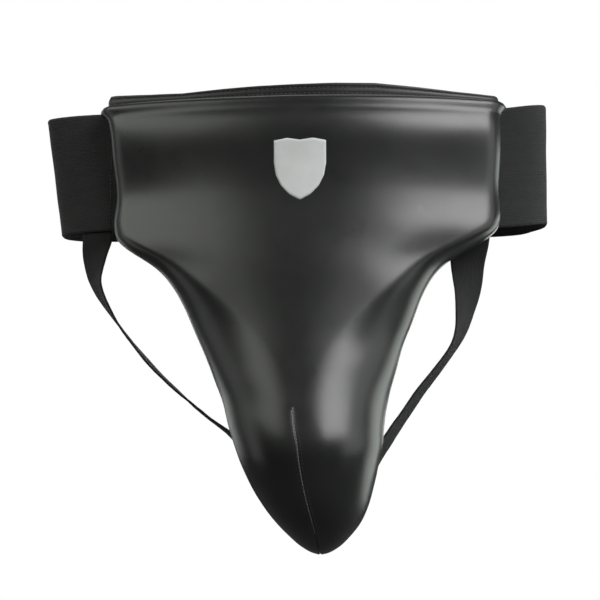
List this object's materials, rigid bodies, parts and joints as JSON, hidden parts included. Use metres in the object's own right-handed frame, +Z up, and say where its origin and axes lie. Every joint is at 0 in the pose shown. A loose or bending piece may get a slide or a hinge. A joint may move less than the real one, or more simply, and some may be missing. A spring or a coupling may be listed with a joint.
{
  "type": "groin protector",
  "caption": "Padded leather groin guard with a hard cup inside, a wide elastic waist belt closed behind with hook-and-loop, and elastic leg straps",
  "frame": {"origin": "centre plane of the waist pad in X, level with the lowest point of the cup in Z, at the middle depth of the crotch curve in Y", "axes": "+Z up as worn, -Y is the front of the pad, +X is the wearer's left"},
  "size_m": [0.4102, 0.192, 0.3635],
  "materials": {
    "leather": "smooth satin black leather",
    "binding": "folded satin black leather binding",
    "lining": "matt black woven lining",
    "foam": "closed cell foam, matt",
    "cup": "moulded hard plastic, matt",
    "gasket": "soft moulded rubber",
    "elastic": "ribbed woven elastic",
    "loop_pile": "brushed loop pile",
    "hook_tape": "moulded hook tape",
    "thread": "bonded polyester thread"
  },
  "bodies": {
    "pad": {"back_lining": "lining", "belly_foam": "foam", "belt_patch_left": "binding", "belt_patch_right": "binding", "belt_seam_stitching": "thread", "belt_side_left": "elastic", "belt_side_right": "elastic", "crotch_bartacks": "thread", "crotch_binding": "binding", "crotch_tab": "leather", "cup_gasket": "gasket", "cup_shell": "cup", "dart_stitching": "thread", "dart_tape": "lining", "edge_binding_left": "binding", "edge_binding_right": "binding", "front_cover": "leather", "inner_foam": "foam", "outer_foam": "foam", "strap_foot_left": "elastic", "strap_foot_right": "elastic", "strap_head_left": "elastic", "strap_head_right": "elastic", "top_binding": "binding", "top_stitching": "thread"},
    "belt_left": {"belt_rear_left": "elastic", "loop_panel": "loop_pile", "loop_stitching": "thread", "belt_end_trim": "binding"},
    "belt_right": {"belt_rear_right": "elastic"},
    "closure_tab": {"closure_tab": "elastic", "hook_panel": "hook_tape", "tab_stitching": "thread", "tab_pull": "leather"},
    "leg_left": {"leg_strap_left": "elastic"},
    "leg_right": {"leg_strap_right": "elastic"}
  },
  "joints": [
    {"name": "belt_right_open", "type": "hinge", "parent": "pad", "child": "belt_right", "pos_m": [0.195, 0.08, 0.3005], "axis": [0, 0, -1], "range_deg": [0, 150]},
    {"name": "belt_left_open", "type": "hinge", "parent": "pad", "child": "belt_left", "pos_m": [-0.207, 0.08, 0.3005], "axis": [-0.1328, 0, 0.9911], "range_deg": [0, 120]},
    {"name": "tab_peel", "type": "hinge", "parent": "belt_right", "child": "closure_tab", "pos_m": [0.0335, 0.1223, 0.3005], "axis": [0, 0, -1], "range_deg": [0, 100]},
    {"name": "leg_left_swing", "type": "hinge", "parent": "pad", "child": "leg_left", "pos_m": [-0.166, 0.047, 0.246], "axis": [0.6353, -0.0371, -0.7714], "range_deg": [-10, 75]},
    {"name": "leg_right_swing", "type": "hinge", "parent": "pad", "child": "leg_right", "pos_m": [0.0325, 0.0372, 0.042], "axis": [0.4436, 0.019, 0.896], "range_deg": [-10, 75]}
  ],
  "couplings": [
    {"joint": "belt_left_open", "follows": "belt_right_open", "ratio": 0.8}
  ]
}
